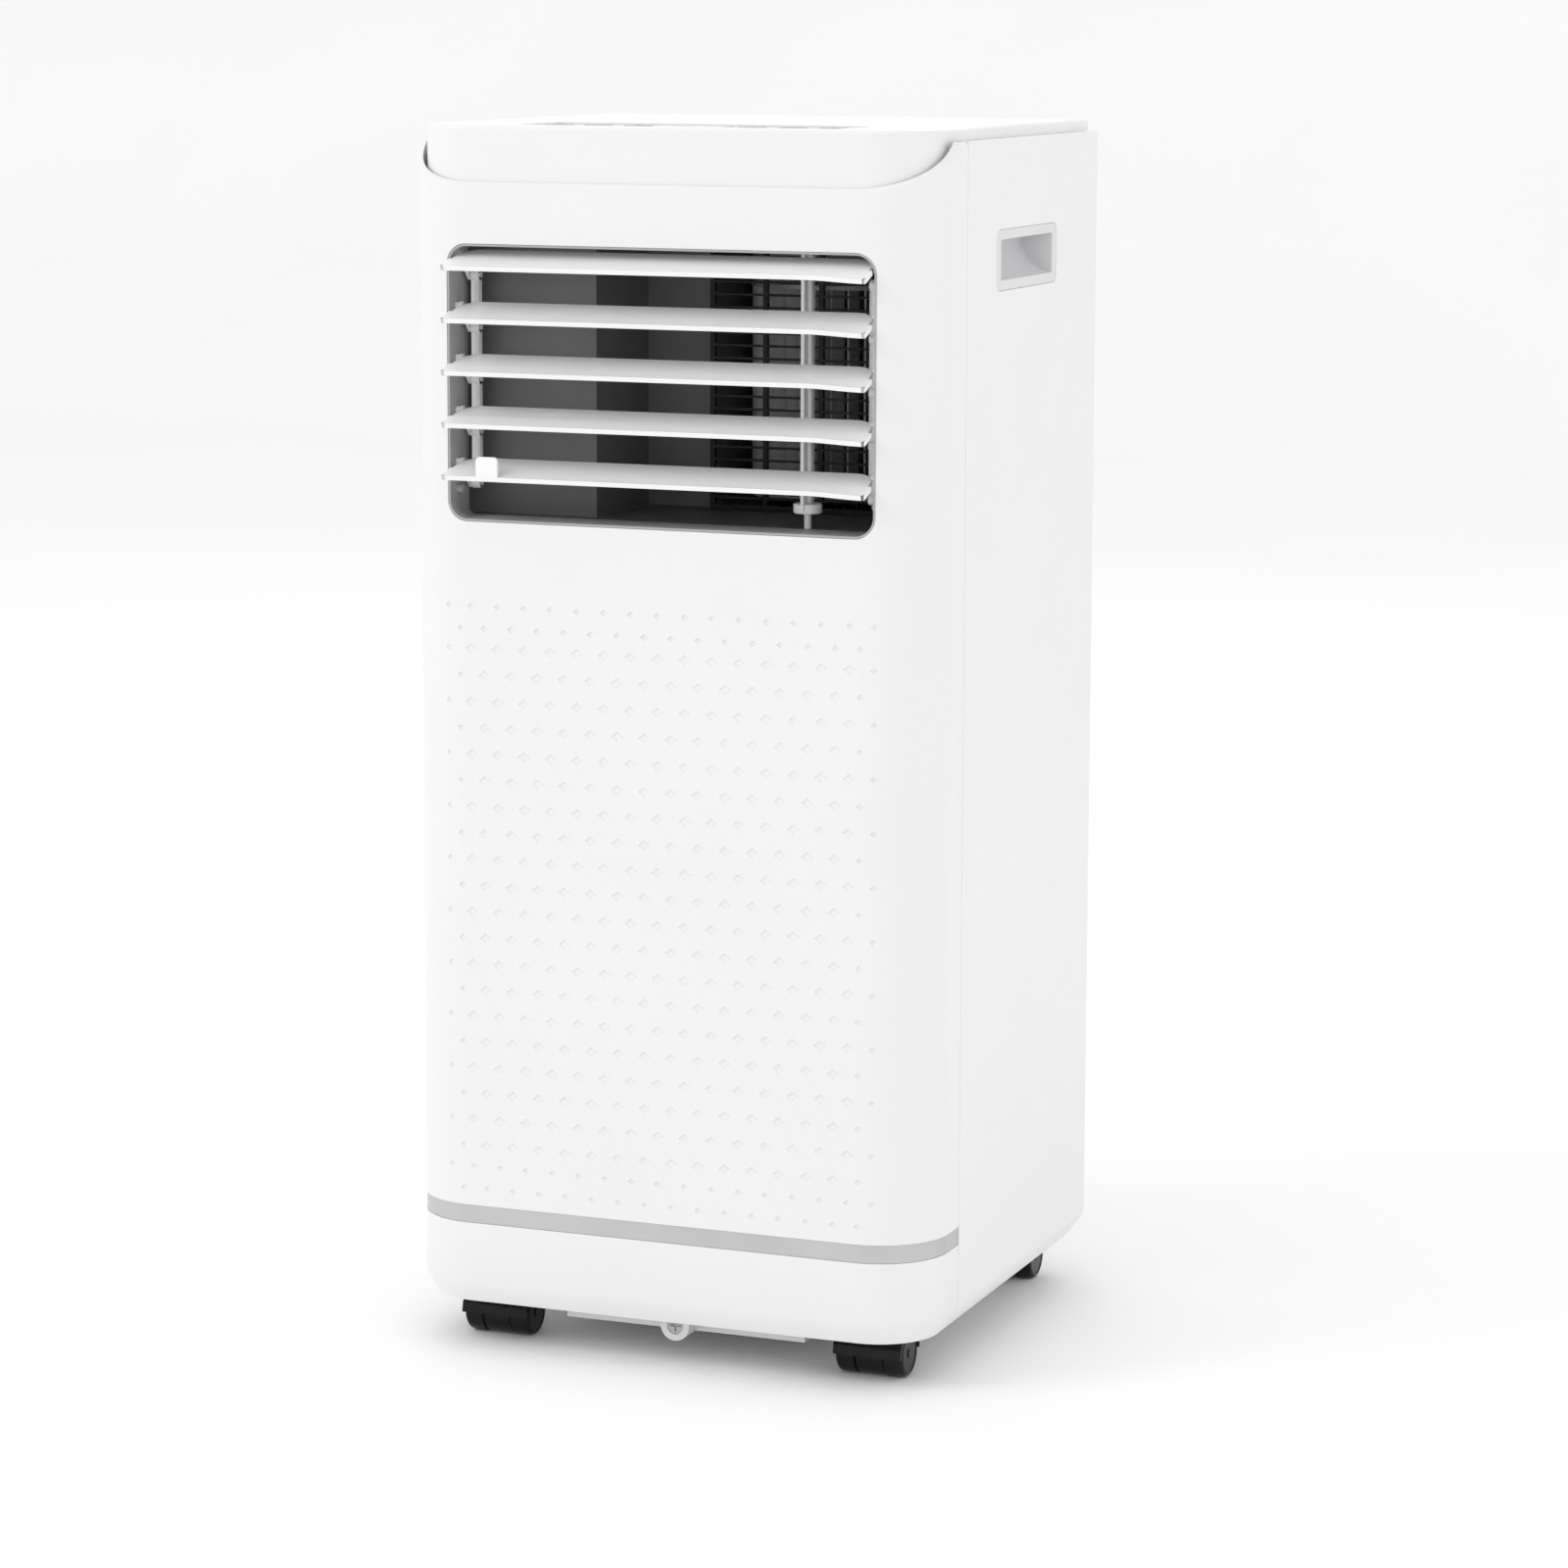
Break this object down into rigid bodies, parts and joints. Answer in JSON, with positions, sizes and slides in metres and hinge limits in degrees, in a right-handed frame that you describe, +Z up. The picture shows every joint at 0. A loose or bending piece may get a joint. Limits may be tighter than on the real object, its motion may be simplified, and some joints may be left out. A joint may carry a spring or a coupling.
{
  "type": "portable air conditioner",
  "caption": "Free-standing portable air conditioner on casters, with a tilting louver outlet, side grips and a rear exhaust collar.",
  "frame": {"origin": "centre of the overall footprint, on the floor", "axes": "+Z up, -Y out of the louvers at the front, +X to the right as seen from the front"},
  "size_m": [0.3174, 0.3048, 0.6985],
  "materials": {
    "shell_white": "glossy moulded white plastic",
    "grip_grey": "satin moulded plastic",
    "louver_white": "satin moulded plastic",
    "frame_grey": "fine-textured moulded plastic",
    "duct_black": "fine-textured black plastic",
    "wheel_grey": "moulded fan plastic",
    "silver_trim": "brushed silver strip",
    "control_dark": "dark glossy window",
    "control_grey": "satin plastic keys and panel",
    "circuit_green": "printed circuit laminate",
    "motor_steel": "drawn steel can",
    "fin_aluminium": "thin pressed fins",
    "deck_white": "moulded plastic",
    "filter_mesh": "fine woven mesh",
    "compressor_black": "semi-gloss black paint",
    "pipe_copper": "drawn copper pipe",
    "plug_dark": "moulded rubber",
    "screw_steel": "zinc-plated",
    "caster_black": "glossy black nylon"
  },
  "bodies": {
    "cabinet": {"front_cover": "shell_white", "side_panel_left": "shell_white", "side_panel_right": "shell_white", "rear_panel": "shell_white", "top_lid": "shell_white", "base_tray": "shell_white", "exhaust_collar": "shell_white", "grip_cup_left": "grip_grey", "grip_cup_right": "grip_grey", "louver_frame": "frame_grey", "air_duct": "duct_black", "blower_guard": "duct_black", "blower_scroll": "duct_black", "exhaust_scroll": "duct_black", "electrical_box": "duct_black", "trim_strip": "silver_trim", "display_window": "control_dark", "control_panel": "control_grey", "control_board": "circuit_green", "blower_motor": "motor_steel", "condenser_motor": "motor_steel", "evaporator_coil": "fin_aluminium", "condenser_coil": "fin_aluminium", "drip_deck": "deck_white", "compressor": "compressor_black", "refrigerant_pipes": "pipe_copper", "front_drain_plug": "plug_dark", "rear_drain_plug": "plug_dark", "cord_gland": "plug_dark", "rear_screws": "screw_steel"},
    "louver_1": {"slat_1": "louver_white"},
    "louver_2": {"slat_2": "louver_white"},
    "louver_3": {"slat_3": "louver_white"},
    "louver_4": {"slat_4": "louver_white"},
    "louver_5": {"slat_5": "louver_white"},
    "link_left": {"tie_bar_left": "louver_white"},
    "link_right": {"tie_bar_right": "louver_white"},
    "air_vane": {"vertical_vane": "louver_white"},
    "power_key_body": {"power_key": "control_grey"},
    "mode_key_body": {"mode_key": "control_grey"},
    "timer_key_body": {"timer_key": "control_grey"},
    "cooler_key_body": {"cooler_key": "control_grey"},
    "warmer_key_body": {"warmer_key": "control_grey"},
    "fan_speed_key_body": {"fan_speed_key": "control_grey"},
    "blower_rotor": {"blower_wheel": "wheel_grey"},
    "fan_rotor": {"condenser_fan": "wheel_grey"},
    "filter_drawer": {"intake_cartridge": "shell_white", "filter_screen": "filter_mesh"},
    "caster_front_left": {"caster_hood_front_left": "caster_black"},
    "wheel_front_left_a": {"caster_wheel_front_left_a": "caster_black"},
    "wheel_front_left_b": {"caster_wheel_front_left_b": "caster_black"},
    "caster_front_right": {"caster_hood_front_right": "caster_black"},
    "wheel_front_right_a": {"caster_wheel_front_right_a": "caster_black"},
    "wheel_front_right_b": {"caster_wheel_front_right_b": "caster_black"},
    "caster_rear_left": {"caster_hood_rear_left": "caster_black"},
    "wheel_rear_left_a": {"caster_wheel_rear_left_a": "caster_black"},
    "wheel_rear_left_b": {"caster_wheel_rear_left_b": "caster_black"},
    "caster_rear_right": {"caster_hood_rear_right": "caster_black"},
    "wheel_rear_right_a": {"caster_wheel_rear_right_a": "caster_black"},
    "wheel_rear_right_b": {"caster_wheel_rear_right_b": "caster_black"}
  },
  "joints": [
    {"name": "louver_3_tilt", "type": "hinge", "parent": "cabinet", "child": "louver_3", "pos_m": [0, -0.1295, 0.569], "axis": [1, 0, 0], "range_deg": [-10, 50]},
    {"name": "louver_1_tilt", "type": "hinge", "parent": "cabinet", "child": "louver_1", "pos_m": [0, -0.1295, 0.6272], "axis": [1, 0, 0], "range_deg": [-10, 50]},
    {"name": "louver_2_tilt", "type": "hinge", "parent": "cabinet", "child": "louver_2", "pos_m": [0, -0.1295, 0.5981], "axis": [1, 0, 0], "range_deg": [-10, 50]},
    {"name": "louver_4_tilt", "type": "hinge", "parent": "cabinet", "child": "louver_4", "pos_m": [0, -0.1295, 0.5399], "axis": [1, 0, 0], "range_deg": [-10, 50]},
    {"name": "louver_5_tilt", "type": "hinge", "parent": "cabinet", "child": "louver_5", "pos_m": [0, -0.1295, 0.5108], "axis": [1, 0, 0], "range_deg": [-10, 50]},
    {"name": "link_left_pivot", "type": "hinge", "parent": "louver_3", "child": "link_left", "pos_m": [0, -0.1185, 0.5565], "axis": [1, 0, 0], "range_deg": [-50, 10]},
    {"name": "link_right_pivot", "type": "hinge", "parent": "louver_3", "child": "link_right", "pos_m": [0, -0.1185, 0.5565], "axis": [1, 0, 0], "range_deg": [-50, 10]},
    {"name": "air_vane_turn", "type": "hinge", "parent": "cabinet", "child": "air_vane", "pos_m": [0.0775, -0.1112, 0.55], "axis": [0, 0, 1], "range_deg": [-30, 30]},
    {"name": "power_key_press", "type": "slide", "parent": "cabinet", "child": "power_key_body", "axis": [0, 0, -1], "range_m": [0, 0.0008], "stiffness_N_per_m": 600},
    {"name": "mode_key_press", "type": "slide", "parent": "cabinet", "child": "mode_key_body", "axis": [0, 0, -1], "range_m": [0, 0.0008], "stiffness_N_per_m": 600},
    {"name": "timer_key_press", "type": "slide", "parent": "cabinet", "child": "timer_key_body", "axis": [0, 0, -1], "range_m": [0, 0.0008], "stiffness_N_per_m": 600},
    {"name": "cooler_key_press", "type": "slide", "parent": "cabinet", "child": "cooler_key_body", "axis": [0, 0, -1], "range_m": [0, 0.0008], "stiffness_N_per_m": 600},
    {"name": "warmer_key_press", "type": "slide", "parent": "cabinet", "child": "warmer_key_body", "axis": [0, 0, -1], "range_m": [0, 0.0008], "stiffness_N_per_m": 600},
    {"name": "fan_speed_key_press", "type": "slide", "parent": "cabinet", "child": "fan_speed_key_body", "axis": [0, 0, -1], "range_m": [0, 0.0008], "stiffness_N_per_m": 600},
    {"name": "blower_spin", "type": "hinge", "parent": "cabinet", "child": "blower_rotor", "pos_m": [0.052, 0.02, 0.55], "axis": [0, 0, 1], "continuous": true},
    {"name": "condenser_fan_spin", "type": "hinge", "parent": "cabinet", "child": "fan_rotor", "pos_m": [0.008, 0.08, 0.19], "axis": [0, 1, 0], "continuous": true},
    {"name": "filter_drawer_pull", "type": "slide", "parent": "cabinet", "child": "filter_drawer", "axis": [0, 1, 0], "range_m": [0, 0.03]},
    {"name": "caster_front_left_swivel", "type": "hinge", "parent": "cabinet", "child": "caster_front_left", "pos_m": [-0.115, -0.1034, 0.035], "axis": [0, 0, 1], "continuous": true},
    {"name": "wheel_front_left_a_roll", "type": "hinge", "parent": "caster_front_left", "child": "wheel_front_left_a", "pos_m": [-0.115, -0.0954, 0.0135], "axis": [1, 0, 0], "continuous": true},
    {"name": "wheel_front_left_b_roll", "type": "hinge", "parent": "caster_front_left", "child": "wheel_front_left_b", "pos_m": [-0.115, -0.0954, 0.0135], "axis": [1, 0, 0], "continuous": true},
    {"name": "caster_front_right_swivel", "type": "hinge", "parent": "cabinet", "child": "caster_front_right", "pos_m": [0.115, -0.1034, 0.035], "axis": [0, 0, 1], "continuous": true},
    {"name": "wheel_front_right_a_roll", "type": "hinge", "parent": "caster_front_right", "child": "wheel_front_right_a", "pos_m": [0.115, -0.0954, 0.0135], "axis": [1, 0, 0], "continuous": true},
    {"name": "wheel_front_right_b_roll", "type": "hinge", "parent": "caster_front_right", "child": "wheel_front_right_b", "pos_m": [0.115, -0.0954, 0.0135], "axis": [1, 0, 0], "continuous": true},
    {"name": "caster_rear_left_swivel", "type": "hinge", "parent": "cabinet", "child": "caster_rear_left", "pos_m": [-0.115, 0.123, 0.035], "axis": [0, 0, 1], "continuous": true},
    {"name": "wheel_rear_left_a_roll", "type": "hinge", "parent": "caster_rear_left", "child": "wheel_rear_left_a", "pos_m": [-0.115, 0.131, 0.0135], "axis": [1, 0, 0], "continuous": true},
    {"name": "wheel_rear_left_b_roll", "type": "hinge", "parent": "caster_rear_left", "child": "wheel_rear_left_b", "pos_m": [-0.115, 0.131, 0.0135], "axis": [1, 0, 0], "continuous": true},
    {"name": "caster_rear_right_swivel", "type": "hinge", "parent": "cabinet", "child": "caster_rear_right", "pos_m": [0.115, 0.123, 0.035], "axis": [0, 0, 1], "continuous": true},
    {"name": "wheel_rear_right_a_roll", "type": "hinge", "parent": "caster_rear_right", "child": "wheel_rear_right_a", "pos_m": [0.115, 0.131, 0.0135], "axis": [1, 0, 0], "continuous": true},
    {"name": "wheel_rear_right_b_roll", "type": "hinge", "parent": "caster_rear_right", "child": "wheel_rear_right_b", "pos_m": [0.115, 0.131, 0.0135], "axis": [1, 0, 0], "continuous": true}
  ],
  "couplings": [
    {"joint": "louver_1_tilt", "follows": "louver_3_tilt", "ratio": 1},
    {"joint": "louver_2_tilt", "follows": "louver_3_tilt", "ratio": 1},
    {"joint": "louver_4_tilt", "follows": "louver_3_tilt", "ratio": 1},
    {"joint": "louver_5_tilt", "follows": "louver_3_tilt", "ratio": 1},
    {"joint": "link_left_pivot", "follows": "louver_3_tilt", "ratio": -1},
    {"joint": "link_right_pivot", "follows": "louver_3_tilt", "ratio": -1}
  ]
}
